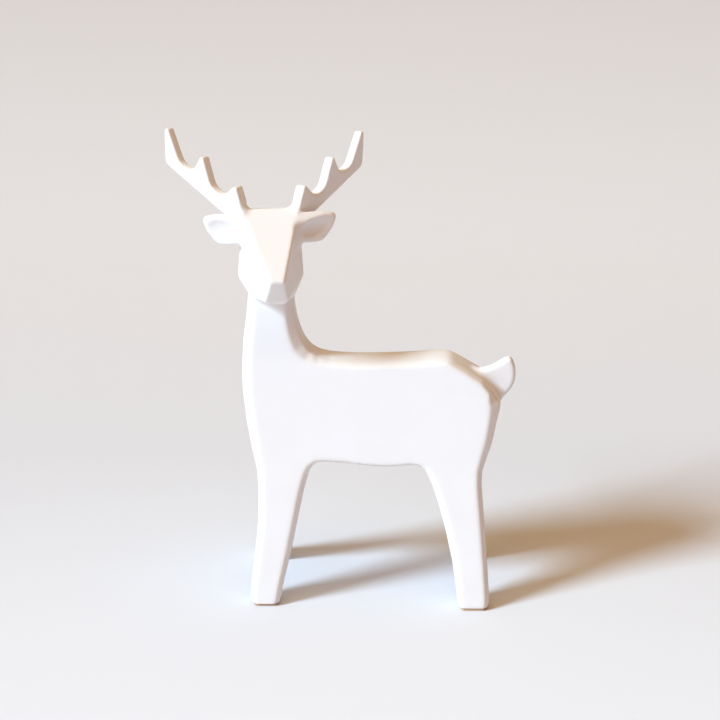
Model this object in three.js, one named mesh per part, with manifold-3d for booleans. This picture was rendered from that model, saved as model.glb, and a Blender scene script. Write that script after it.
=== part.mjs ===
// Standing reindeer figurine in matte white glazed ceramic, head turned to its own left.
// Millimetres, +Z up. The deer's body points along -X, its left flank and its face look along -Y.
// Left and right in the names are the animal's own.
import * as THREE from 'three';
import { mergeVertices } from 'three/addons/utils/BufferGeometryUtils.js';
import { ConvexGeometry } from 'three/addons/geometries/ConvexGeometry.js';
import Module from 'manifold-3d';

const wasm = await Module();
wasm.setup();

// ---- Driving dimensions -------------------------------------------------------------------
const GAP = 0.3;                 // slip-filled joint between two castings
const WALL = 5;                  // thickness of the cast wall
const STANCE = 52;               // half the width across the feet, outside to outside
const BACK_HALF = 18;            // half the width across the flanks at the foot of the neck
const BACK_Z = 190;              // height of the foot of the neck, where its own flanks begin
const NECK_TAPER = 0.095;        // narrowing of the neck, per mm of height
const BEVEL_DEPTH = 6;           // how far the trunk's edge bevel reaches in from each flank
const NECK_TOP = 238;            // joint plane between neck and head
const LEG_TOP = 100;             // joint plane between trunk and legs
const CROTCH_Z = 107;            // top of the notch between the left and right legs
const LEG_THICK_TOP = 22;        // leg across the body at the joint plane
const LEG_THICK_FOOT = 19;       // leg across the body at the foot
const LEG_BEVEL = 4;             // leg edge bevel, across the body
const FOOT_Z = 1.3;              // underside of the ceramic foot
const PAD_THICK = FOOT_Z - GAP;  // soft pad under each foot
const PAD_INSET = 1.2;           // pad edge, in from the foot's edge
const PAD_CORNER = 3;
const REAR_SPLAY = 5;            // rear feet stand this much further out than the front ones
const LEG_INSET = 3.4;           // leg edge bevel, along the body
const LEG_WALL = 6.4;            // leg wall along the body, at the bevelled flank
const LEG_CAVITY_FLOOR = 16;     // the foot is solid below this height
const COLLAR_HEIGHT = 6;         // how far a collar reaches into its neighbour
const COLLAR_WALL = 2.5;
const COLLAR_INSIDE = 14.5;      // a leg collar's faces, out from the centre plane
const COLLAR_OUTSIDE = 26.5;
const FRONT_COLLAR = [-77, -55]; // a leg collar's span along the body
const REAR_COLLAR = [54, 77];
const NECK_COLLAR_RADIUS = 9;
const VENT_RADIUS = 3.5;         // casting vent under the belly
const AXIS_X = -75;              // vertical axis of the neck, about which the head is turned
const HEAD_YAW = 9;              // head turned this far past square, towards the rump, in degrees
const ANTLER_SWEEP = 45;         // antler plates swept back from the head's side, in degrees
const ANTLER_CANT = 2.4;         // one antler sits this much steeper, the other flatter
const ANTLER_ROOT_THICK = 9;
const ANTLER_TIP_THICK = 7.4;
const ANTLER_START = 25;         // the antler plate's zero line, out from the head's centre plane
const ANTLER_PIVOT = [-4.6, 298]; // the cant turns about this point of the plate
const ANTLER_BEVEL = 0.8;
const EAR_SWEEP = 19;            // ears swept back, in degrees
const EAR_START = [20, -6.6];    // the ear plate's zero line in the head's frame
const EAR_ROOT_THICK = 7.6;
const EAR_TIP_THICK = 4;
const EAR_BEVEL = 1;
const EAR_RISE = 6.3;            // the back of the ear's top edge stands this much higher, at the root
const HEAD_CLEARANCE = 1.015;    // antlers and ears stop at a head this much larger
const HEAD_CAVITY = 0.6;         // cavity size as a share of the head
const TAIL_HALF = 5;             // half the tail's thickness
const TAIL_BEVEL = 1.6;          // how far the tail's edge bevel reaches in from each side
const OVERRUN = 3;               // how far a cutting body passes the wall that it cuts

const GLAZE = { color: 0xf6f5f2, roughness: 0.55, metalness: 0 };
const FELT = { color: 0xe6d3bd, roughness: 0.95, metalness: 0 };

// Trunk profile on its middle band, [x, z, inset of the flank plane's edge from it].
const TRUNK_PROFILE = [
  [-91.9, NECK_TOP, 5], [-93.4, 223, 5.5], [-96, 204, 6], [-97.5, 181, 6], [-96.8, 164, 6],
  [-94.1, 141, 6], [-89.3, 116, 5], [-86.6, 105, 4], [-86, LEG_TOP, LEG_INSET],
  [-46.9, LEG_TOP, LEG_INSET], [-45.8, 103.3, 3], [-43.4, 107, 3], [-40, 109.3, 3], [-35, 110, 3],
  [-18, 109, 3], [-1, 107.1, 3], [14, 106.4, 3], [33, 108, 3], [38.6, 106.8, 3],
  [42.4, 103.8, 3], [44.7, LEG_TOP, LEG_INSET], [85.9, LEG_TOP, LEG_INSET],
  [86.2, 103.6, 4], [89.7, 114.3, 5], [92.5, 122.2, 5.6], [94.7, 131.5, 5.8], [96.9, 142.4, 6.4],
  [98.9, 150.6, 7.8], [99.6, 156, 8], [93, 165, 2.4], [86, 172.9, 2],
  [73.7, 180.9, 2.1], [63.4, 186.8, 1.9], [59.4, 188.4, 1.7], [52, 188.5, 1.6], [38.6, 187.3, 1.6],
  [22.7, 186.2, 1.6], [-8, 185.4, 1.6], [-20, 185.9, 1.8], [-31.4, 187.2, 2.4], [-39, 189.4, 3.8],
  [-45.4, 193.6, 6.8], [-49.7, 199.3, 8.3], [-52.7, 206.1, 8.2], [-55.6, 215.8, 7.3],
  [-57.2, 224.7, 6.5], [-58.2, NECK_TOP, 6.5],
];

// The casting's hollow, one outline from flank to flank.
const CAVITY_FLOOR = CROTCH_Z + WALL;
const CAVITY_PROFILE = [
  [-84, NECK_TOP - WALL], [-87, 212], [-89.5, 180], [-88, 150], [-80, CAVITY_FLOOR],
  [81, CAVITY_FLOOR], [86, 128], [88.5, 150], [81, 168], [60, 181], [38, 180.5],
  [-8, 178.5], [-31, 180.5], [-46, 184], [-56, 191], [-63, 203], [-66, 218], [-67, NECK_TOP - WALL],
];

// Leg edges as [z, x at the front edge, x at the rear edge].
const FRONT_LEG = [
  [LEG_TOP - GAP, -86, -46.9], [87, -85.2, -50.5], [65, -85.4, -55], [47, -87, -58.7],
  [33, -88.6, -61.9], [20, -90.3, -65], [9, -91.3, -67.4], [4, -91.2, -68], [FOOT_Z, -89.8, -69.2],
];
const REAR_LEG = [
  [LEG_TOP - GAP, 44.7, 85.9], [93, 47.8, 85.8], [84, 51, 86.5], [75, 54, 87.3], [57, 58.9, 88.8],
  [36, 63.7, 90.5], [20, 66.4, 91.6], [9, 67.5, 92.3], [4, 68, 92.3], [FOOT_Z, 69.4, 91],
];

// Head corners in the head's own frame: x to its left, y towards its back, z up.
const HEAD_CORNERS = {
  crown: [21.8, 0, 301.5],
  crownBack: [16, 13, 299],
  noseTop: [5.4, -54, 259.4],
  noseBottom: [8.6, -46, 243.8],
  lip: [5.5, -43, 240.2],
  cheek: [25, 0, 251],
  cheekBack: [20, 15, 255],
  throat: [16.5, -14, NECK_TOP + GAP],
  nape: [15, 13.4, NECK_TOP + GAP],
};
const HEAD_CENTRE = [0, -8, 266];

// Antler outline in its own plate, [s outward, z]. Root on the head, then out along the lower edge.
const ANTLER_PROFILE = [
  [-7, 285.5], [12.5, 295.1], [40.6, 308.8], [68.6, 322.5], [71.6, 324.5], [73, 328],
  [73.7, 349.2], [72.8, 351.4], [70.6, 351.2],
  [61, 331.4], [58.8, 327.8], [55.2, 325.4], [49.8, 323.7], [45.6, 323.9], [42.2, 326.6],
  [37.8, 334], [36.4, 335.3], [34.8, 334.1],
  [28.4, 317.3], [26.2, 313.9], [22.6, 311.6], [18, 310], [13.8, 310.2], [9.8, 312.6],
  [4.9, 317.2], [3.2, 318], [1.7, 316.8],
  [-4.2, 301.9], [-7, 298.8],
];
// Peg on the antler's root: two opposite corners, [s, depth into the plate, z].
const ANTLER_PEG = [[-9, 2.2, 286.5], [-1, ANTLER_ROOT_THICK - 2.2, 293]];

// Ear outline in its own plate, [s outward from the head's side, z].
const EAR_PROFILE = [
  [-8, 278], [-8, 290.5], [1, 293.1], [11, 295.3], [22, 297], [29.5, 296.7], [31.6, 295.1],
  [31.4, 291.9], [28.6, 285.5], [23, 278.7], [19.6, 276.2], [16, 275.5], [5, 276.1],
];
const EAR_TOP = 293;             // profile points above this height are on the ear's top edge
const EAR_PEG = [[-4, -1.6, 278.5], [5, 2.4, 285]];
// Dished front of the ear: an ellipsoid's half axes, its middle and its turn in degrees.
const EAR_DISH = { half: [14.5, 3.4, 7], middle: [15.5, -3.8, 287.8], turn: -12 };

// Tail outline, [x, z, inset of the flat side's edge from it], and the peg that seats it on the
// rump. The last four points follow the rump.
const TAIL_PROFILE = [
  [80.8, 177, 0.3], [84.6, 177.7, 0.5], [89.2, 178.8, 1.1], [93.6, 180.4, 1.6], [99.4, 184, 1.6],
  [105, 187.4, 1.6], [107.8, 186.6, 1.6], [110.4, 181, 1.6], [111.3, 175, 1.6],
  [110.7, 168.6, 1.6], [109.2, 164.4, 1.6], [106.9, 160.9, 1.6], [104.5, 157.8, 1.4],
  [102.4, 155.2, 0.8], [100.6, 153, 0.3], [99.8, 153, 0.1], [100.1, 156.2, 0.3],
  [93.4, 165.4, 0.3], [86.4, 173.3, 0.4],
];
const TAIL_PEG = { along: 5, half: 2.6, deep: 4 };
const TAIL_SEAT = { x: 93.4, z: 164.4, tilt: Math.atan2(17.5, 15.5) };

// The four legs: edge table, side of the body, extra splay at the foot, collar span.
const LEGS = [
  { name: 'front_left', edges: FRONT_LEG, side: -1, splay: 0, collar: FRONT_COLLAR },
  { name: 'front_right', edges: FRONT_LEG, side: 1, splay: 0, collar: FRONT_COLLAR },
  { name: 'rear_left', edges: REAR_LEG, side: -1, splay: REAR_SPLAY, collar: REAR_COLLAR },
  { name: 'rear_right', edges: REAR_LEG, side: 1, splay: REAR_SPLAY, collar: REAR_COLLAR },
];

// ---- Small tools --------------------------------------------------------------------------
const radians = (degrees) => degrees * Math.PI / 180;

// Distance of the flank planes from the centre plane: of the body and legs, and of the neck.
const halfWidth = (z) => STANCE - (STANCE - BACK_HALF) * z / BACK_Z;
const neckHalfWidth = (z) => BACK_HALF - NECK_TAPER * (z - BACK_Z);

function isCounterClockwise(outline) {
  return THREE.ShapeUtils.area(outline.map(([a, b]) => new THREE.Vector2(a, b))) > 0;
}

// Moves each corner of an outline inwards by its own distance, along the mean of its two normals.
function insetOutline(outline, distanceOf) {
  const turn = isCounterClockwise(outline) ? 1 : -1;
  return outline.map((corner, i) => {
    const before = outline.at(i - 1);
    const after = outline[(i + 1) % outline.length];
    const into = new THREE.Vector2(corner[0] - before[0], corner[1] - before[1]).normalize();
    const out = new THREE.Vector2(after[0] - corner[0], after[1] - corner[1]).normalize();
    const normal = new THREE.Vector2(-(into.y + out.y), into.x + out.x).normalize();
    const stretch = Math.max(0.5, Math.abs(-normal.x * into.y + normal.y * into.x));
    const shift = turn * distanceOf(corner) / stretch;
    return [corner[0] + normal.x * shift, corner[1] + normal.y * shift];
  });
}

// The inset that a profile point states itself.
const ownInset = ([, , inset]) => inset;

function toManifold(geometry) {
  const plain = geometry.index ? geometry.toNonIndexed() : geometry.clone();
  plain.deleteAttribute('normal');
  plain.deleteAttribute('uv');
  const merged = mergeVertices(plain, 1e-4);
  return new wasm.Manifold(new wasm.Mesh({
    numProp: 3,
    vertProperties: new Float32Array(merged.attributes.position.array),
    triVerts: new Uint32Array(merged.index.array),
  }));
}

function toGeometry(solid) {
  const mesh = solid.getMesh();
  const geometry = new THREE.BufferGeometry();
  geometry.setAttribute('position', new THREE.Float32BufferAttribute(mesh.vertProperties, 3));
  geometry.setIndex(new THREE.Uint32BufferAttribute(mesh.triVerts, 1));
  return geometry;
}

// A closed solid through rings of [x, y, z] points, all with the same number of points.
// The end rings are filled in the XZ plane.
function loft(rings) {
  const flat = rings[0].map(([x, , z]) => [x, z]);
  const ordered = isCounterClockwise(flat) ? rings : rings.map((ring) => [...ring].reverse());
  const count = flat.length;
  const last = (rings.length - 1) * count;
  const outline = ordered[0].map(([x, , z]) => new THREE.Vector2(x, z));
  const cap = THREE.ShapeUtils.triangulateShape(outline, []);
  const indices = [];
  for (const [a, b, c] of cap) {
    indices.push(a, b, c);
    indices.push(last + a, last + c, last + b);
  }
  for (let ring = 0; ring < rings.length - 1; ring += 1) {
    for (let i = 0; i < count; i += 1) {
      const here = ring * count + i;
      const next = ring * count + (i + 1) % count;
      indices.push(here, next + count, next);
      indices.push(here, here + count, next + count);
    }
  }
  // Rings that run towards -Y give a solid that is inside out, so its triangles are turned.
  if (ordered[0][0][1] > ordered.at(-1)[0][1]) indices.reverse();
  const geometry = new THREE.BufferGeometry();
  geometry.setAttribute('position', new THREE.Float32BufferAttribute(ordered.flat(2), 3));
  geometry.setIndex(indices);
  return toManifold(geometry);
}

// An upright round bar on the axis at x, between two heights.
function post(x, radius, low, high) {
  const geometry = new THREE.CylinderGeometry(radius, radius, high - low, 32);
  geometry.rotateX(Math.PI / 2);
  geometry.translate(x, 0, (high + low) / 2);
  return toManifold(geometry);
}

function extruded(shape, depth) {
  return new THREE.ExtrudeGeometry(shape, { depth, bevelEnabled: false, curveSegments: 6 });
}

const ringAt = (outline, yOf) => outline.map(([x, z]) => [x, yOf(z, x), z]);

function block(low, high) {
  const size = high.map((value, i) => value - low[i]);
  const geometry = new THREE.BoxGeometry(...size);
  geometry.translate(...high.map((value, i) => (value + low[i]) / 2));
  return toManifold(geometry);
}

function grown([low, high], by) {
  return block(low.map((value) => value - by), high.map((value) => value + by));
}

// ---- Trunk: body and neck, cast hollow ----------------------------------------------------
// The same loft between the body's flanks and between the neck's, joined: the wider one shows.
const withNeck = (loftBetween) => loftBetween(halfWidth).add(loftBetween(neckHalfWidth));

// At a joint plane the bevel runs straight on into the next casting.
function levelAtJoint([x0, z0, inset], x, z) {
  const isJoint = z0 === LEG_TOP || z0 === NECK_TOP;
  return isJoint ? [x0 + Math.sign(x - x0) * inset, z0] : [x, z];
}

function trunkOuter() {
  const inset = insetOutline(TRUNK_PROFILE, ownInset);
  const flank = inset.map(([x, z], i) => levelAtJoint(TRUNK_PROFILE[i], x, z));
  return withNeck((half) => loft([
    ringAt(flank, (z) => -half(z)),
    ringAt(TRUNK_PROFILE, (z) => BEVEL_DEPTH - half(z)),
    ringAt(TRUNK_PROFILE, (z) => half(z) - BEVEL_DEPTH),
    ringAt(flank, (z) => half(z)),
  ]));
}

function trunkCavity() {
  return withNeck((half) => loft([
    ringAt(CAVITY_PROFILE, (z) => WALL - half(z)),
    ringAt(CAVITY_PROFILE, (z) => half(z) - WALL),
  ]));
}

function legCollar(leg, shrink, low, high) {
  const faces = [leg.side * COLLAR_INSIDE, leg.side * COLLAR_OUTSIDE].sort((a, b) => a - b);
  return block(
    [leg.collar[0] + shrink, faces[0] + shrink, low],
    [leg.collar[1] - shrink, faces[1] - shrink, high],
  );
}

function crotchNotch() {
  const wide = halfWidth(LEG_TOP) - LEG_THICK_TOP;
  const shape = new THREE.Shape();
  shape.moveTo(-wide - 1, LEG_TOP - OVERRUN);
  shape.lineTo(wide + 1, LEG_TOP - OVERRUN);
  shape.lineTo(wide, LEG_TOP);
  shape.quadraticCurveTo(wide - 1, CROTCH_Z, 0, CROTCH_Z);
  shape.quadraticCurveTo(-wide + 1, CROTCH_Z, -wide, LEG_TOP);
  const ends = TRUNK_PROFILE.map(([x]) => x);
  const start = Math.min(...ends) - OVERRUN;
  const geometry = extruded(shape, Math.max(...ends) + OVERRUN - start);
  geometry.rotateX(Math.PI / 2);
  geometry.rotateZ(Math.PI / 2);
  geometry.translate(start, 0, 0);
  return toManifold(geometry);
}

function tailPeg(by) {
  const geometry = new THREE.BoxGeometry(
    2 * (TAIL_PEG.along + by), 2 * (TAIL_PEG.half + by), 2 * (TAIL_PEG.deep + by),
  );
  geometry.rotateY(TAIL_SEAT.tilt);
  geometry.translate(TAIL_SEAT.x, 0, TAIL_SEAT.z);
  return toManifold(geometry);
}

function trunkSolid() {
  let solid = trunkOuter()
    .add(post(AXIS_X, NECK_COLLAR_RADIUS, NECK_TOP - 1, NECK_TOP + COLLAR_HEIGHT))
    .subtract(crotchNotch());
  for (const leg of LEGS) {
    solid = solid.add(legCollar(leg, 0, LEG_TOP - COLLAR_HEIGHT, LEG_TOP + 1));
  }
  solid = solid.subtract(trunkCavity());
  for (const leg of LEGS) {
    const below = LEG_TOP - COLLAR_HEIGHT - OVERRUN;
    solid = solid.subtract(legCollar(leg, COLLAR_WALL, below, CAVITY_FLOOR + OVERRUN));
  }
  const above = NECK_TOP + COLLAR_HEIGHT + OVERRUN;
  return solid
    .subtract(post(AXIS_X, NECK_COLLAR_RADIUS - COLLAR_WALL, NECK_TOP - WALL - OVERRUN, above))
    .subtract(post(0, VENT_RADIUS, CROTCH_Z - OVERRUN, CAVITY_FLOOR + OVERRUN))
    .subtract(tailPeg(GAP));
}

// ---- Legs ---------------------------------------------------------------------------------
const legThickness = (z) => LEG_THICK_FOOT + (LEG_THICK_TOP - LEG_THICK_FOOT) * z / LEG_TOP;

// Distance of the leg's outer and inner flanks from the body's centre plane.
const outerFlank = (leg, z) => halfWidth(z) + leg.splay * (1 - z / LEG_TOP);
const innerFlank = (leg, z) => outerFlank(leg, z) - legThickness(z);

function legOutline(edges, insetAt) {
  const front = edges.map(([z, x]) => [x + insetAt(z), z]);
  const rear = edges.map(([z, , x]) => [x - insetAt(z), z]).reverse();
  return [...front, ...rear];
}

// The leg's outer bevel deepens to the trunk's at the joint plane; its inner bevel runs out there.
const outerBevel = (z) => LEG_BEVEL + (BEVEL_DEPTH - LEG_BEVEL) * z / LEG_TOP;
const innerInset = (z) => LEG_INSET * (1 - z / LEG_TOP);

// Leg edges at one height, between the rows of its table.
function edgesAt(edges, z) {
  const upper = edges.findLastIndex(([height]) => height >= z);
  const [z0, front0, rear0] = edges[upper];
  const [z1, front1, rear1] = edges[upper + 1];
  const share = (z0 - z) / (z0 - z1);
  return [front0 + (front1 - front0) * share, rear0 + (rear1 - rear0) * share];
}

// Tapered hollow inside the leg, from the collar's pocket down to a thick foot.
function legCavity(leg, top) {
  const corners = [];
  for (const z of [LEG_CAVITY_FLOOR, top]) {
    const [front, rear] = edgesAt(leg.edges, z);
    for (const x of [front + LEG_WALL, rear - LEG_WALL]) {
      corners.push(new THREE.Vector3(x, leg.side * (outerFlank(leg, z) - WALL), z));
      corners.push(new THREE.Vector3(x, leg.side * (innerFlank(leg, z) + WALL), z));
    }
  }
  return toManifold(new ConvexGeometry(corners));
}

function legSolid(leg) {
  const outside = (z) => leg.side * outerFlank(leg, z);
  const inside = (z) => leg.side * innerFlank(leg, z);
  const middle = legOutline(leg.edges, () => 0);
  const solid = loft([
    ringAt(legOutline(leg.edges, () => LEG_INSET), outside),
    ringAt(middle, (z) => outside(z) - leg.side * outerBevel(z)),
    ringAt(middle, (z) => inside(z) + leg.side * LEG_BEVEL),
    ringAt(legOutline(leg.edges, innerInset), inside),
  ]);
  const pocketFloor = LEG_TOP - COLLAR_HEIGHT - 2 * GAP;
  return solid
    .subtract(legCollar(leg, -GAP, pocketFloor, LEG_TOP + OVERRUN))
    .subtract(legCavity(leg, pocketFloor + 1));
}

// ---- Foot pads ----------------------------------------------------------------------------
function padSolid(leg) {
  const [, front, rear] = leg.edges.at(-1);
  const shape = new THREE.Shape();
  const low = innerFlank(leg, FOOT_Z) + PAD_INSET;
  const high = outerFlank(leg, FOOT_Z) - PAD_INSET;
  const left = front + PAD_INSET;
  const right = rear - PAD_INSET;
  shape.moveTo(left + PAD_CORNER, low);
  shape.lineTo(right - PAD_CORNER, low);
  shape.quadraticCurveTo(right, low, right, low + PAD_CORNER);
  shape.lineTo(right, high - PAD_CORNER);
  shape.quadraticCurveTo(right, high, right - PAD_CORNER, high);
  shape.lineTo(left + PAD_CORNER, high);
  shape.quadraticCurveTo(left, high, left, high - PAD_CORNER);
  shape.lineTo(left, low + PAD_CORNER);
  shape.quadraticCurveTo(left, low, left + PAD_CORNER, low);
  const geometry = extruded(shape, PAD_THICK);
  if (leg.side < 0) geometry.rotateX(Math.PI).translate(0, 0, PAD_THICK);
  return toManifold(geometry);
}

// ---- Head, antlers and ears, in the head's own frame --------------------------------------
function headHull(scale) {
  const centre = new THREE.Vector3(...HEAD_CENTRE);
  const corners = Object.values(HEAD_CORNERS).flatMap(([x, y, z]) => [
    new THREE.Vector3(x, y, z),
    new THREE.Vector3(-x, y, z),
  ]);
  const moved = corners.map((corner) => corner.sub(centre).multiplyScalar(scale).add(centre));
  return toManifold(new ConvexGeometry(moved));
}

// An upright plate's frame on one side of the head: X runs outward and back by the sweep.
function platePlace(side, sweepDegrees, x, y) {
  const sweep = radians(sweepDegrees);
  const out = new THREE.Vector3(side * Math.cos(sweep), Math.sin(sweep), 0);
  const back = new THREE.Vector3(-side * Math.sin(sweep), Math.cos(sweep), 0);
  const matrix = new THREE.Matrix4().makeBasis(out, back, new THREE.Vector3(0, 0, 1));
  return matrix.setPosition(side * x, y, 0);
}

function antlerPlace(side) {
  const [s, z] = ANTLER_PIVOT;
  const cant = new THREE.Matrix4().makeTranslation(s, 0, z)
    .multiply(new THREE.Matrix4().makeRotationY(side * radians(ANTLER_CANT)))
    .multiply(new THREE.Matrix4().makeTranslation(-s, 0, -z));
  return platePlace(side, ANTLER_SWEEP, ANTLER_START, 0).multiply(cant);
}

const earPlace = (side) => platePlace(side, EAR_SWEEP, ...EAR_START);

function placed(solid, matrix) {
  const geometry = toGeometry(solid).applyMatrix4(matrix);
  if (matrix.determinant() < 0) geometry.setIndex([...geometry.index.array].reverse());
  return toManifold(geometry);
}

const antlerPeg = (side, by) => placed(grown(ANTLER_PEG, by), antlerPlace(side));
const earPeg = (side, by) => placed(grown(EAR_PEG, by), earPlace(side));

function antlerSolid(side) {
  const inner = insetOutline(ANTLER_PROFILE, () => ANTLER_BEVEL);
  const length = Math.max(...ANTLER_PROFILE.map(([s]) => s));
  const taper = (ANTLER_TIP_THICK - ANTLER_ROOT_THICK) / length;
  const plate = loft([
    ringAt(inner, () => 0),
    ringAt(ANTLER_PROFILE, () => ANTLER_BEVEL),
    ringAt(ANTLER_PROFILE, (z, s) => ANTLER_ROOT_THICK + taper * s - ANTLER_BEVEL),
    ringAt(inner, (z, s) => ANTLER_ROOT_THICK + taper * s),
  ]);
  return placed(plate, antlerPlace(side))
    .subtract(headHull(HEAD_CLEARANCE))
    .add(antlerPeg(side, 0));
}

// The room that an antler's plate takes, with the joint gap around it.
function antlerRoom(side) {
  const outline = insetOutline(ANTLER_PROFILE, () => -GAP);
  const room = loft([
    ringAt(outline, () => -GAP),
    ringAt(outline, () => ANTLER_ROOT_THICK + GAP),
  ]);
  return placed(room, antlerPlace(side));
}

function earSolid(side) {
  const tip = Math.max(...EAR_PROFILE.map(([s]) => s));
  const taper = (EAR_TIP_THICK - EAR_ROOT_THICK) / tip;
  const half = (s) => (EAR_ROOT_THICK + taper * Math.max(s, 0)) / 2;
  const raised = EAR_PROFILE.map(([s, z]) => [s, z > EAR_TOP ? z + EAR_RISE * (1 - s / tip) : z]);
  const inner = (outline) => insetOutline(outline, () => EAR_BEVEL);
  const plate = loft([
    ringAt(inner(EAR_PROFILE), (z, s) => -half(s)),
    ringAt(EAR_PROFILE, (z, s) => -half(s) + EAR_BEVEL),
    ringAt(raised, (z, s) => half(s) - EAR_BEVEL),
    ringAt(inner(raised), (z, s) => half(s)),
  ]);
  const dish = new THREE.SphereGeometry(1, 24, 16);
  dish.scale(...EAR_DISH.half);
  dish.rotateY(radians(EAR_DISH.turn));
  dish.translate(...EAR_DISH.middle);
  return placed(plate.subtract(toManifold(dish)), earPlace(side))
    .subtract(headHull(HEAD_CLEARANCE))
    .subtract(antlerRoom(side))
    .add(earPeg(side, 0));
}

function headSolid() {
  const opening = post(0, NECK_COLLAR_RADIUS + GAP, NECK_TOP - OVERRUN, HEAD_CENTRE[2]);
  let solid = headHull(1).subtract(headHull(HEAD_CAVITY)).subtract(opening);
  for (const side of [-1, 1]) {
    solid = solid.subtract(antlerPeg(side, GAP)).subtract(earPeg(side, GAP));
  }
  return solid;
}

// ---- Tail ---------------------------------------------------------------------------------
function tailSolid() {
  const inner = insetOutline(TAIL_PROFILE, ownInset);
  return loft([
    ringAt(inner, () => -TAIL_HALF),
    ringAt(TAIL_PROFILE, () => TAIL_BEVEL - TAIL_HALF),
    ringAt(TAIL_PROFILE, () => TAIL_HALF - TAIL_BEVEL),
    ringAt(inner, () => TAIL_HALF),
  ]).add(tailPeg(0));
}

// ---- Assembly -----------------------------------------------------------------------------
const group = new THREE.Group();
const headGroup = new THREE.Group();
headGroup.position.set(AXIS_X, 0, 0);
headGroup.rotation.z = radians(HEAD_YAW);
group.add(headGroup);

function addPart(parent, name, solid, look) {
  const mesh = new THREE.Mesh(toGeometry(solid), new THREE.MeshStandardMaterial(look));
  mesh.name = name;
  parent.add(mesh);
}

addPart(group, 'trunk', trunkSolid(), GLAZE);
for (const leg of LEGS) {
  addPart(group, `leg_${leg.name}`, legSolid(leg), GLAZE);
  addPart(group, `foot_pad_${leg.name}`, padSolid(leg), FELT);
}
addPart(group, 'tail', tailSolid(), GLAZE);
addPart(headGroup, 'head', headSolid(), GLAZE);
for (const [name, side] of [['left', 1], ['right', -1]]) {
  addPart(headGroup, `antler_${name}`, antlerSolid(side), GLAZE);
  addPart(headGroup, `ear_${name}`, earSolid(side), GLAZE);
}

// The origin is under the middle of the object's box, on the surface that it stands on.
group.updateMatrixWorld(true);
const box = new THREE.Box3().setFromObject(group, true);
const centre = box.getCenter(new THREE.Vector3());
group.position.set(-centre.x, -centre.y, -box.min.z);
group.updateMatrixWorld(true);

export default group;
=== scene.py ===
"""Matte white ceramic reindeer figurine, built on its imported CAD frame.

The CAD castings are closed up, joined and softened into one glazed skin, which is then parted
again at the castings' joints, so that every casting keeps a closed piece of its own.
Lengths are in metres.
"""

import math

import bmesh
import bpy
import numpy as np
from mathutils import Matrix, Vector, noise
from mathutils.bvhtree import BVHTree
from mathutils.kdtree import KDTree


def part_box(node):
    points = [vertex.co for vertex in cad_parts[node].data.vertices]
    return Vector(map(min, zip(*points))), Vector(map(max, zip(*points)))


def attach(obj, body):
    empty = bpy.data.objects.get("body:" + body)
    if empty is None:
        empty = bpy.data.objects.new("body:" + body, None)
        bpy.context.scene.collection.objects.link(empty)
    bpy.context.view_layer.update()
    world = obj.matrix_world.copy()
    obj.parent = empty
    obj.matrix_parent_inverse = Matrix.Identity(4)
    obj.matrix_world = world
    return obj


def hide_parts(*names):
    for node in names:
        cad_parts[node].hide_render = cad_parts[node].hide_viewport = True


MM = 0.001

# ---- The glazed skin ------------------------------------------------------------------------
CASTINGS = [
    "trunk", "head", "antler_left", "antler_right", "ear_left", "ear_right",
    "leg_front_left", "leg_front_right", "leg_rear_left", "leg_rear_right", "tail",
]
PADS = ["foot_pad_front_left", "foot_pad_front_right", "foot_pad_rear_left", "foot_pad_rear_right"]
JOINT_GAP = 0.3 * MM        # between two castings in the CAD
REACH = 0.7 * MM            # a casting reaches this far towards its neighbour, to close that gap
TAIL_ROOT = (-0.75, 0, -0.66)           # the way from the tail into the trunk
VENT_FORWARD = 2 * MM       # the belly's casting vent is this far in front of the trunk's middle
VENT_PLUG = (6 * MM, 5 * MM, 113 * MM)  # radius, depth and height of the disc that closes it
VOXEL = 0.85 * MM
SOFTEN_ALL = 3              # smoothing rounds on every casting
SOFTEN_BODY = 12            # more rounds where the mould's edges are soft
SOFTEN_TRUNK = 18           # and more again on the trunk, the upper legs and the tail
TRUNK_FADE_FEET = (20 * MM, 50 * MM)    # the extra rounds fade in between these heights
TRUNK_FADE_NECK = 15 * MM               # and fade out over this length below the head
TAIL_SHARE = 0.6            # the thin tail gets a little less
CRISP = ("antler_left", "antler_right")
LUTED = {("antler_left", "head"), ("antler_right", "head"), ("ear_left", "head"),
         ("ear_right", "head"), ("tail", "trunk")}
BEAD = 1.5 * MM             # radius of the slip that is run into a luted joint
BEAD_SPACING = 1.2 * MM
FILLET_REACH = 7 * MM       # the slip is wiped smooth this far from the joint
FILLET_ROUNDS = 60
EDGE_TURN = 0.05 * MM       # a point this far proud of its neighbours is on a mould edge
CREASE_TURN = 0.03 * MM     # and one this far below them is in a crease
TURN_SPREAD = 2             # rounds of averaging before a turn is read
WELD = 0.001 * MM           # corners closer than this are one
ASK_CLEAR = 1 * MM          # a face close to a level joint belongs to what is this far from it

# ---- Felt pads ------------------------------------------------------------------------------
FELT_VOXEL = 0.4 * MM
FELT_FUZZ = 0.16 * MM       # how far the felt's cut edge wanders
FUZZ_SIZE = 1.1 * MM
FUZZ_FULL = 8 * MM          # the fuzz is at its fullest this far from the pad's middle
FELT_RISE = 0.25 * MM       # the felt's top comes up to the foot
SOFTEN_FELT = 2

# ---- Colours --------------------------------------------------------------------------------
GLAZE_COOL = (0.855, 0.855, 0.850)
GLAZE_WARM = (0.840, 0.832, 0.818)
GLAZE_THIN = (0.83, 0.80, 0.75)
BISCUIT_LIGHT = (0.72, 0.60, 0.47)
BISCUIT_DARK = (0.62, 0.50, 0.37)
FELT_LIGHT = (0.66, 0.47, 0.31)
FELT_DARK = (0.46, 0.30, 0.18)
# Painted light: the card is coloured lighter and cooler at the front and darker and warmer up the
# wall, standing in for light that is weaker there.
CARD_PAINTED_FALLOFF_STOPS = [              # from the card's near end to its far end
    (0.0, (0.79, 0.83, 0.88)),
    (0.3, (0.67, 0.68, 0.70)),
    (0.6, (0.70, 0.68, 0.665)),
    (1.0, (0.565, 0.525, 0.485)),
]
CARD_NEAR_END = -350 * MM   # along Y
CARD_FAR_END = 1700 * MM

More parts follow.
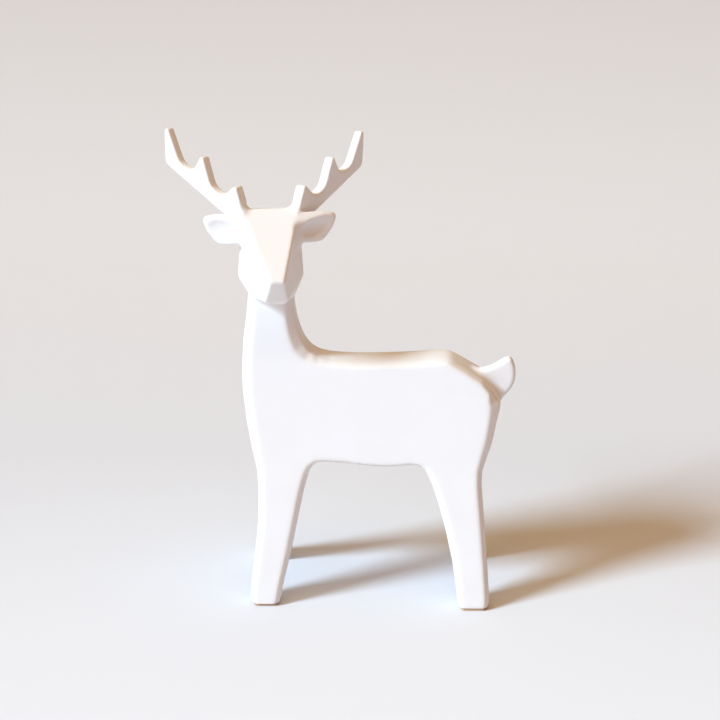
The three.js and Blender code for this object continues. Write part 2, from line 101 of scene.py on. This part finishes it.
# ---- Glaze, felt and card surfaces ----------------------------------------------------------
CLOUD_SIZE = 45 * MM        # patches of cooler and warmer glaze
THIN_SHARE = 0.55           # how cream the glaze gets on a mould edge
BARE_BELOW = 2.0 * MM       # bare biscuit under this height
GLAZED_ABOVE = 2.7 * MM     # and full glaze over this one
BISCUIT_GRAIN = 0.6 * MM
SHEEN_SIZE = 7 * MM
GLAZE_ROUGHNESS = (0.44, 0.58)
WAVE_SIZE, WAVE_DEPTH = 14 * MM, 0.11 * MM
PEEL_SIZE, PEEL_DEPTH = 1.3 * MM, 0.012 * MM
FIBRE_SIZE, FIBRE_DEPTH = 0.5 * MM, 0.12 * MM
FIBRE_STRETCH = (1, 0.35, 1)
FELT_ROUGHNESS = (0.85, 1.0)
TOOTH_SIZE, TOOTH_DEPTH = 1.5 * MM, 0.02 * MM

# ---- Backdrop (metres) ----------------------------------------------------------------------
CARD_HALF_WIDTH = 6.0
CARD_FRONT = -3.0           # along Y
CARD_BACK = 1.6
CARD_HEIGHT = 3.5
BEND_RADIUS = 0.7
BEND_STEPS = 24

# ---- Camera ---------------------------------------------------------------------------------
CAMERA_LENS = 85
CAMERA_DISTANCE = 1300.5 * MM
CAMERA_AZIMUTH = math.radians(1.26)
CAMERA_PITCH = math.radians(18)
SENSOR_WIDTH = 36
AIM_ASIDE = -9 * MM         # from the middle of the trunk
AIM_HEIGHT = 183.5 * MM

# ---- Lights: name, kind, place from the figurine, size (degrees or metres), colour, energy ---
LIGHTS = [
    ("window", "SUN", (-0.745, -0.363, 0.559), 16, (0.63, 0.83, 1.0), 4.5),
    ("sky", "AREA", (-1.7, -1.9, 1.2), (2.4, 2.0), (0.95, 0.98, 1.0), 19),
    ("ceiling", "AREA", (0.2, -0.3, 2.6), (2.6, 2.6), (1.0, 0.68, 0.12), 24),
]
ROOM_COLOUR = (1.0, 0.2, 0.02)
ROOM_STRENGTH = 0.22
ROOM_SEEN = (0.78, 0.78, 0.80)      # what shows past the edge of the card


# ---- Mesh helpers ---------------------------------------------------------------------------
def new_object(name, mesh):
    piece = bpy.data.objects.new(name, mesh)
    bpy.context.scene.collection.objects.link(piece)
    return piece


def mesh_from(bm, name):
    mesh = bpy.data.meshes.new(name)
    bm.to_mesh(mesh)
    bm.free()
    return mesh


def welded(node):
    """A bmesh of a CAD node, with one vertex at each corner."""
    bm = bmesh.new()
    bm.from_mesh(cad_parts[node].data)
    bmesh.ops.remove_doubles(bm, verts=bm.verts, dist=WELD)
    bm.normal_update()
    return bm


def box_middle(node):
    low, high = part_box(node)
    return (Vector(low) + Vector(high)) / 2


def vent_plug():
    """A disc that closes the inner end of the belly's casting vent, so the hollow stays out."""
    radius, depth, height = VENT_PLUG
    centre = box_middle("trunk")
    bm = bmesh.new()
    place = Matrix.Translation((centre.x - VENT_FORWARD, centre.y, height))
    bmesh.ops.create_cone(bm, cap_ends=True, segments=24, radius1=radius, radius2=radius,
                          depth=depth, matrix=place)
    return bm


def towards_neighbour(node):
    """The direction from a casting to the one that it is joined to."""
    if node.startswith("leg"):
        return Vector((0, 0, 1))
    if node == "head":
        return Vector((0, 0, -1))
    if node == "tail":
        return Vector(TAIL_ROOT)
    if node == "trunk":
        return Vector((0, 0, 0))
    way = box_middle("head") - box_middle(node)
    way.z = 0
    return way.normalized()


def closed_castings():
    """All castings in one mesh, each with a copy moved a little way into its neighbour."""
    joined = bpy.data.meshes.new("castings")
    everything = bmesh.new()
    for node in CASTINGS:
        bm = welded(node)
        for reach in (0, REACH):
            bmesh.ops.translate(bm, verts=bm.verts, vec=towards_neighbour(node) * reach)
            bm.to_mesh(joined)
            everything.from_mesh(joined)
        bm.free()
    plug = vent_plug()
    plug.to_mesh(joined)
    plug.free()
    everything.from_mesh(joined)
    everything.to_mesh(joined)
    everything.free()
    return joined


def evaluated(piece):
    """The piece's mesh with its modifiers applied; the piece itself is removed."""
    bpy.context.view_layer.update()
    graph = bpy.context.evaluated_depsgraph_get()
    mesh = bpy.data.meshes.new_from_object(piece.evaluated_get(graph))
    bpy.data.objects.remove(piece)
    return mesh


def edge_ends(mesh):
    """Two arrays with the vertex numbers at the two ends of every edge."""
    ends = np.empty(len(mesh.edges) * 2, dtype=np.int64)
    mesh.edges.foreach_get("vertices", ends)
    return ends.reshape(-1, 2).T


def keep_outer_shell(mesh):
    """Drops every shell but the largest, which leaves out the castings' hollows."""
    first, second = edge_ends(mesh)
    shell = np.arange(len(mesh.vertices))
    while True:
        before = shell.copy()
        lowest = np.minimum(shell[first], shell[second])
        np.minimum.at(shell, first, lowest)
        np.minimum.at(shell, second, lowest)
        shell = shell[shell]
        if np.array_equal(shell, before):
            break
    largest = np.bincount(shell).argmax()
    bm = bmesh.new()
    bm.from_mesh(mesh)
    spare = [vert for vert in bm.verts if shell[vert.index] != largest]
    bmesh.ops.delete(bm, geom=spare, context="VERTS")
    bm.to_mesh(mesh)
    bm.free()


def node_finder():
    """A function from a point to the name of the nearest casting."""
    corners, faces, owners = [], [], []
    for node in CASTINGS:
        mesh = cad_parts[node].data
        start = len(corners)
        corners.extend(vert.co.copy() for vert in mesh.vertices)
        faces.extend([start + i for i in face.vertices] for face in mesh.polygons)
        owners.extend([node] * len(mesh.polygons))
    tree = BVHTree.FromPolygons(corners, faces)
    return lambda point: owners[tree.find_nearest(point)[2]]


def remeshed(mesh, voxel):
    """The mesh's outer skin, made of even square faces."""
    piece = new_object("solid", mesh)
    remesh = piece.modifiers.new("remesh", "REMESH")
    remesh.mode = "VOXEL"
    remesh.voxel_size = voxel
    skin = evaluated(piece)
    keep_outer_shell(skin)
    return skin


def outward_turn(mesh):
    """How far each vertex stands proud of its neighbours: over 0 on edges, under 0 in creases."""
    count = len(mesh.vertices)
    places = np.empty(count * 3)
    mesh.vertices.foreach_get("co", places)
    places = places.reshape(-1, 3)
    outward = np.array([item.vector for item in mesh.vertex_normals])
    first, second = edge_ends(mesh)
    ends = np.concatenate((first, second))
    others = np.concatenate((second, first))
    degree = np.bincount(ends, minlength=count)

    def neighbours_mean(values):
        return np.bincount(ends, weights=values[others], minlength=count) / degree

    middle = np.stack([neighbours_mean(places[:, axis]) for axis in range(3)], axis=1)
    turn = np.einsum("ij,ij->i", places - middle, outward)
    for _ in range(TURN_SPREAD):
        turn = neighbours_mean(turn)
    return turn


def mark_edges(mesh):
    """Stores how sharply the skin turns outwards at each point, 0 flat to 1 a mould edge."""
    layer = mesh.attributes.new("edge", "FLOAT", "POINT")
    sharpness = np.clip(outward_turn(mesh) / EDGE_TURN, 0, 1)
    layer.data.foreach_set("value", sharpness.astype(np.float32))


def luted_points(mesh, nearest):
    """Evenly spread points along the creases where one casting was stuck to another."""
    names = [nearest(vert.co) for vert in mesh.vertices]
    turn = outward_turn(mesh)
    points = []
    for edge in mesh.edges:
        first, second = edge.vertices
        if tuple(sorted((names[first], names[second]))) not in LUTED:
            continue
        if turn[first] > -CREASE_TURN:
            continue
        point = mesh.vertices[first].co.copy()
        if all((point - other).length > BEAD_SPACING for other in points):
            points.append(point)
    return points


def with_slip(mesh, points):
    """The mesh with beads of slip run into its luted joints."""
    ball = bmesh.new()
    bmesh.ops.create_icosphere(ball, subdivisions=2, radius=BEAD)
    corners = [vert.co.copy() for vert in ball.verts]
    faces = [[vert.index for vert in face.verts] for face in ball.faces]
    ball.free()
    beads = bpy.data.meshes.new("beads")
    beads.from_pydata(
        [point + corner for point in points for corner in corners], [],
        [[i + start for i in face] for start in range(0, len(points) * len(corners), len(corners))
         for face in faces])
    bm = bmesh.new()
    bm.from_mesh(mesh)
    bm.from_mesh(beads)
    bm.to_mesh(mesh)
    bm.free()
    return mesh


def smooth_by(piece, name, rounds, group=""):
    modifier = piece.modifiers.new(name, "SMOOTH")
    modifier.factor = 0.5
    modifier.iterations = rounds
    modifier.vertex_group = group


def near_joints(piece, points):
    """A vertex group that fades out over FILLET_REACH from the luted joints."""
    tree = KDTree(len(points))
    for i, point in enumerate(points):
        tree.insert(point, i)
    tree.balance()
    group = piece.vertex_groups.new(name="fillet")
    for vert in piece.data.vertices:
        distance = tree.find(vert.co)[2]
        if distance < FILLET_REACH:
            group.add([vert.index], 1 - distance / FILLET_REACH, "REPLACE")


def on_trunk(piece, owners):
    """A vertex group of the trunk, legs and tail that fades out near the feet and the head."""
    neck_plane = joint_planes()[1]
    low, high = TRUNK_FADE_FEET
    group = piece.vertex_groups.new(name="trunk")
    for vert, owner in zip(piece.data.vertices, owners):
        if not owner.startswith(("trunk", "leg", "tail")):
            continue
        most = TAIL_SHARE if owner == "tail" else 1
        over_feet = (vert.co.z - low) / (high - low)
        under_neck = (neck_plane - vert.co.z) / TRUNK_FADE_NECK
        weight = min(most, over_feet, under_neck)
        if weight > 0:
            group.add([vert.index], weight, "REPLACE")


def glazed_skin(nearest):
    """The softened outer skin of all castings together."""
    rough = remeshed(closed_castings(), VOXEL)
    points = luted_points(rough, nearest)
    mesh = remeshed(with_slip(rough, points), VOXEL)
    piece = new_object("skin", mesh)
    owners = [nearest(vert.co) for vert in mesh.vertices]
    soft = piece.vertex_groups.new(name="soft")
    soft.add([i for i, owner in enumerate(owners) if owner not in CRISP], 1.0, "REPLACE")
    on_trunk(piece, owners)
    near_joints(piece, points)
    smooth_by(piece, "all", SOFTEN_ALL)
    smooth_by(piece, "body", SOFTEN_BODY, "soft")
    smooth_by(piece, "trunk", SOFTEN_TRUNK, "trunk")
    smooth_by(piece, "joints", FILLET_ROUNDS, "fillet")
    skin = evaluated(piece)
    mark_edges(skin)
    return skin


# ---- Parting the skin at the castings' joints -----------------------------------------------
def joint_planes():
    """The heights of the level joints, in the middle of their gaps."""
    leg_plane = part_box("leg_front_left")[1].z + JOINT_GAP / 2
    neck_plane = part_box("head")[0].z - JOINT_GAP / 2
    return leg_plane, neck_plane


def part_skin(mesh, nearest):
    """The whole skin as a bmesh cut at the level joints, and {casting: its faces}."""
    planes = joint_planes()
    bm = bmesh.new()
    bm.from_mesh(mesh)
    for z in planes:
        bmesh.ops.bisect_plane(bm, geom=bm.verts[:] + bm.edges[:] + bm.faces[:], dist=WELD,
                               plane_co=(0, 0, z), plane_no=(0, 0, 1))
    bm.normal_update()
    shares = {node: [] for node in CASTINGS}
    for face in bm.faces:
        point = face.calc_center_median()
        for z in planes:
            if abs(point.z - z) < 2 * VOXEL:
                point.z += math.copysign(ASK_CLEAR, point.z - z)
        shares[nearest(point)].append(face)
    return bm, shares


def close_holes(bm):
    """Caps the mesh's open rims, each cap facing the same way out as the faces round it."""
    rim = [edge for edge in bm.edges if edge.is_boundary]
    caps = bmesh.ops.holes_fill(bm, edges=rim, sides=0)["faces"]
    for cap in caps:
        corner = cap.loops[0]
        if corner.link_loop_radial_next.vert == corner.vert:
            cap.normal_flip()
    bmesh.ops.triangulate(bm, faces=caps)
    bm.normal_update()


def casting_piece(whole, node, faces):
    """One casting's closed piece, with the whole skin's normals up to its joints."""
    edge_of_whole = whole.verts.layers.float["edge"]
    bm = bmesh.new()
    edge_here = bm.verts.layers.float.new("edge")
    copies, normals = {}, []
    for vert in {vert for face in faces for vert in face.verts}:
        copies[vert] = bm.verts.new(vert.co)
        copies[vert][edge_here] = vert[edge_of_whole]
        normals.append(vert.normal.copy())
    for face in faces:
        bm.faces.new([copies[vert] for vert in face.verts])
    bm.verts.index_update()
    skin_faces = len(bm.faces)
    close_holes(bm)
    mesh = mesh_from(bm, f"{node}_skin")
    mesh.shade_smooth()
    corner_normals = [None] * len(mesh.loops)
    for face in mesh.polygons:
        for loop in face.loop_indices:
            on_skin = face.index < skin_faces
            normal = normals[mesh.loops[loop].vertex_index] if on_skin else face.normal
            corner_normals[loop] = tuple(normal)
    mesh.normals_split_custom_set(corner_normals)
    return new_object(f"{node}_skin", mesh)


# ---- Felt pads ------------------------------------------------------------------------------
def felt_pad(node):
    """A die-cut felt pad under one foot, soft at its rim and fuzzy on its cut edge."""
    low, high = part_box(node)
    middle = (Vector(low) + Vector(high)) / 2
    bm = welded(node)
    for vert in bm.verts:
        if vert.co.z > middle.z:
            vert.co.z += FELT_RISE
    mesh = remeshed(mesh_from(bm, "pad"), FELT_VOXEL)
    piece = new_object("pad", mesh)
    smooth_by(piece, "rim", SOFTEN_FELT)
    mesh = evaluated(piece)
    mesh.name = f"{node}_felt"
    floor = min(vert.co.z for vert in mesh.vertices)
    for vert in mesh.vertices:
        outward = vert.co - middle
        outward.z = 0
        fuzz = noise.fractal(vert.co / FUZZ_SIZE, 1.0, 2.0, 3) * FELT_FUZZ
        vert.co += outward.normalized() * fuzz * min(1, outward.length / FUZZ_FULL)
        vert.co.z += low[2] - floor
    mesh.shade_smooth()
    return new_object(f"{node}_felt", mesh)


# ---- Materials ------------------------------------------------------------------------------
def shader(name):
    """A new material, its node tree and its Principled shader."""
    material = bpy.data.materials.new(name)
    material.use_nodes = True
    tree = material.node_tree
    return material, tree, tree.nodes["Principled BSDF"]


def node_of(tree, kind, **settings):
    """A new node of that kind with those settings."""
    made = tree.nodes.new(kind)
    for key, value in settings.items():
        setattr(made, key, value)
    return made


def grain(tree, place, size, detail=2.0, roughness=0.5):
    """Noise with features about `size` metres across. Returns its factor."""
    made = node_of(tree, "ShaderNodeTexNoise")
    made.inputs["Scale"].default_value = 1 / size
    made.inputs["Detail"].default_value = detail
    made.inputs["Roughness"].default_value = roughness
    tree.links.new(place, made.inputs["Vector"])
    return made.outputs["Fac"]


def ramp(tree, factor, *stops):
    """A colour that runs through (position, colour) stops as the factor grows."""
    made = node_of(tree, "ShaderNodeValToRGB")
    bar = made.color_ramp
    while len(bar.elements) < len(stops):
        bar.elements.new(0.5)
    for element, (position, colour) in zip(bar.elements, stops):
        element.position = position
        element.color = (*colour, 1)
    tree.links.new(factor, made.inputs["Fac"])
    return made.outputs["Color"]


def scaled(tree, value, low, high, start=0.3, end=0.7):
    """The value, from start to end, mapped to low to high."""
    made = node_of(tree, "ShaderNodeMapRange")
    for name, number in (("From Min", start), ("From Max", end), ("To Min", low), ("To Max", high)):
        made.inputs[name].default_value = number
    tree.links.new(value, made.inputs["Value"])
    return made.outputs["Result"]


def mixed(tree, factor, first, second):
    """The first colour where the factor is 0 and the second, which may be plain, where it is 1."""
    made = node_of(tree, "ShaderNodeMix", data_type="RGBA")
    amount, under, over = (made.inputs[i] for i in (0, 6, 7))      # the sockets for colours
    tree.links.new(factor, amount)
    tree.links.new(first, under)
    if isinstance(second, tuple):
        over.default_value = (*second, 1)
    else:
        tree.links.new(second, over)
    return made.outputs[2]


def bumped(tree, height, depth, under=None):
    """A bump of that depth, on top of the one under it if given. Returns the normal."""
    made = node_of(tree, "ShaderNodeBump")
    made.inputs["Distance"].default_value = depth
    made.inputs["Strength"].default_value = 1
    tree.links.new(height, made.inputs["Height"])
    if under:
        tree.links.new(under, made.inputs["Normal"])
    return made.outputs["Normal"]


def ceramic():
    """Matte white glaze on slip-cast earthenware.

    It thins to cream on the edges and stops short of the feet, where the bare biscuit shows.
    Its surface has a fine orange peel over slow waves.
    """
    material, tree, bsdf = shader("matte_white_ceramic")
    place = node_of(tree, "ShaderNodeTexCoord").outputs["Object"]
    cloud = grain(tree, place, CLOUD_SIZE, detail=3)
    glaze = ramp(tree, cloud, (0.3, GLAZE_COOL), (0.7, GLAZE_WARM))
    edge = node_of(tree, "ShaderNodeAttribute", attribute_name="edge").outputs["Fac"]
    body = mixed(tree, scaled(tree, edge, 0, THIN_SHARE, 0, 1), glaze, GLAZE_THIN)
    height = node_of(tree, "ShaderNodeSeparateXYZ")
    tree.links.new(place, height.inputs[0])
    foot = scaled(tree, height.outputs["Z"], 1, 0, BARE_BELOW, GLAZED_ABOVE)
    biscuit = ramp(tree, grain(tree, place, BISCUIT_GRAIN),
                   (0.3, BISCUIT_LIGHT), (0.7, BISCUIT_DARK))
    tree.links.new(mixed(tree, foot, body, biscuit), bsdf.inputs["Base Color"])
    sheen = scaled(tree, grain(tree, place, SHEEN_SIZE, detail=3), *GLAZE_ROUGHNESS)
    tree.links.new(sheen, bsdf.inputs["Roughness"])
    bsdf.inputs["Specular IOR Level"].default_value = 0.42
    waves = bumped(tree, grain(tree, place, WAVE_SIZE, detail=1), WAVE_DEPTH)
    peel = bumped(tree, grain(tree, place, PEEL_SIZE), PEEL_DEPTH, under=waves)
    tree.links.new(peel, bsdf.inputs["Normal"])
    return material


def pad_material():
    """Tan felt: short fibres in mottled shades, with a soft fuzz."""
    material, tree, bsdf = shader("foot_felt")
    place = node_of(tree, "ShaderNodeTexCoord").outputs["Object"]
    stretch = node_of(tree, "ShaderNodeMapping")
    stretch.inputs["Scale"].default_value = FIBRE_STRETCH
    tree.links.new(place, stretch.inputs["Vector"])
    fibre = grain(tree, stretch.outputs["Vector"], FIBRE_SIZE, detail=5, roughness=0.7)
    colour = ramp(tree, fibre, (0.3, FELT_DARK), (0.7, FELT_LIGHT))
    tree.links.new(colour, bsdf.inputs["Base Color"])
    tree.links.new(scaled(tree, fibre, *FELT_ROUGHNESS), bsdf.inputs["Roughness"])
    bsdf.inputs["Sheen Weight"].default_value = 0.4
    bsdf.inputs["Sheen Roughness"].default_value = 0.5
    bsdf.inputs["Specular IOR Level"].default_value = 0.2
    tree.links.new(bumped(tree, fibre, FIBRE_DEPTH), bsdf.inputs["Normal"])
    return material


def floor_material():
    """Seamless pale card with a faint tooth, painted lighter and cooler at the front and darker and
    warmer up at the back, as painted light falloff.
    """
    material, tree, bsdf = shader("floor")
    place = node_of(tree, "ShaderNodeTexCoord").outputs["Object"]
    depth = node_of(tree, "ShaderNodeSeparateXYZ")
    tree.links.new(place, depth.inputs[0])
    across = scaled(tree, depth.outputs["Y"], 0, 1, CARD_NEAR_END, CARD_FAR_END)
    # painted light falloff: the card's colour fades from lighter and cooler at the front to darker
    # and warmer at the back
    tree.links.new(ramp(tree, across, *CARD_PAINTED_FALLOFF_STOPS), bsdf.inputs["Base Color"])
    tooth = grain(tree, place, TOOTH_SIZE, detail=3)
    tree.links.new(bumped(tree, tooth, TOOTH_DEPTH), bsdf.inputs["Normal"])
    bsdf.inputs["Roughness"].default_value = 0.95
    bsdf.inputs["Specular IOR Level"].default_value = 0.1
    return material


# ---- Stage ----------------------------------------------------------------------------------
def backdrop():
    """A floor that sweeps up into a wall behind the figurine."""
    foot = CARD_BACK - BEND_RADIUS
    profile = [(CARD_FRONT, 0.0), (foot, 0.0)]
    for i in range(1, BEND_STEPS + 1):
        angle = math.pi / 2 * i / BEND_STEPS
        profile.append((foot + BEND_RADIUS * math.sin(angle),
                        BEND_RADIUS * (1 - math.cos(angle))))
    profile.append((CARD_BACK, CARD_HEIGHT))
    bm = bmesh.new()
    left, right = ([bm.verts.new((x, y, z)) for y, z in profile]
                   for x in (-CARD_HALF_WIDTH, CARD_HALF_WIDTH))
    for i in range(len(profile) - 1):
        bm.faces.new((left[i], right[i], right[i + 1], left[i + 1]))
    mesh = mesh_from(bm, "backdrop")
    mesh.shade_smooth()
    piece = new_object("backdrop", mesh)
    piece.data.materials.append(floor_material())


def look_from(piece, place, target):
    """Puts a lamp or the camera at a place, facing the target."""
    piece.location = place
    piece.rotation_euler = (Vector(target) - Vector(place)).to_track_quat("-Z", "Y").to_euler()


def room():
    """A world that lights the figurine as a warm room, but shows as a pale wall."""
    world = bpy.data.worlds.new("room")
    world.use_nodes = True
    tree = world.node_tree
    warm = tree.nodes["Background"]
    warm.inputs["Color"].default_value = (*ROOM_COLOUR, 1)
    warm.inputs["Strength"].default_value = ROOM_STRENGTH
    seen = node_of(tree, "ShaderNodeBackground")
    seen.inputs["Color"].default_value = (*ROOM_SEEN, 1)
    either = node_of(tree, "ShaderNodeMixShader")
    path = node_of(tree, "ShaderNodeLightPath")
    tree.links.new(path.outputs["Is Camera Ray"], either.inputs[0])
    tree.links.new(warm.outputs[0], either.inputs[1])
    tree.links.new(seen.outputs[0], either.inputs[2])
    tree.links.new(either.outputs[0], tree.nodes["World Output"].inputs["Surface"])
    return world


def lights(target):
    """Soft daylight from a window and the sky at the left, in a warm room."""
    for name, kind, place, size, colour, energy in LIGHTS:
        data = bpy.data.lights.new(name, kind)
        data.color = colour
        data.energy = energy
        if kind == "SUN":
            data.angle = math.radians(size)
        else:
            data.shape = "RECTANGLE"
            data.size, data.size_y = size
        look_from(new_object(name, data), target + Vector(place), target)
    bpy.context.scene.world = room()


def camera(target):
    """The camera, in front of the figurine's left flank and a little above it."""
    data = bpy.data.cameras.new("camera")
    data.lens = CAMERA_LENS
    data.sensor_width = SENSOR_WIDTH
    piece = new_object("camera", data)
    away = Vector((math.sin(CAMERA_AZIMUTH) * math.cos(CAMERA_PITCH),
                   -math.cos(CAMERA_AZIMUTH) * math.cos(CAMERA_PITCH),
                   math.sin(CAMERA_PITCH)))
    look_from(piece, target + away * CAMERA_DISTANCE, target)
    bpy.context.scene.camera = piece


# ---- Scene ----------------------------------------------------------------------------------
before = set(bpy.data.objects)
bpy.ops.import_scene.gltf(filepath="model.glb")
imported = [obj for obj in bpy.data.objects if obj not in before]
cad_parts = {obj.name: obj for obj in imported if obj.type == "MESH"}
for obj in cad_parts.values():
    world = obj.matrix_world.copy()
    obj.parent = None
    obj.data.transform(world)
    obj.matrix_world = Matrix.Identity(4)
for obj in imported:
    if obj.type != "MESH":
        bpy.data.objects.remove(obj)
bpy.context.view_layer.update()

body = box_middle("trunk")
camera_target = Vector((body.x + AIM_ASIDE, body.y, AIM_HEIGHT))
camera(camera_target)
lights(camera_target)
backdrop()

nearest_casting = node_finder()
whole_skin, skin_shares = part_skin(glazed_skin(nearest_casting), nearest_casting)
glaze = ceramic()
for casting in CASTINGS:
    skin_piece = casting_piece(whole_skin, casting, skin_shares[casting])
    skin_piece.data.materials.append(glaze)
    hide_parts(casting)
    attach(skin_piece, "root")
whole_skin.free()
felt = pad_material()
for pad in PADS:
    felt_piece = felt_pad(pad)
    felt_piece.data.materials.append(felt)
    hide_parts(pad)
    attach(felt_piece, "root")

bpy.context.scene.view_settings.view_transform = "Standard"
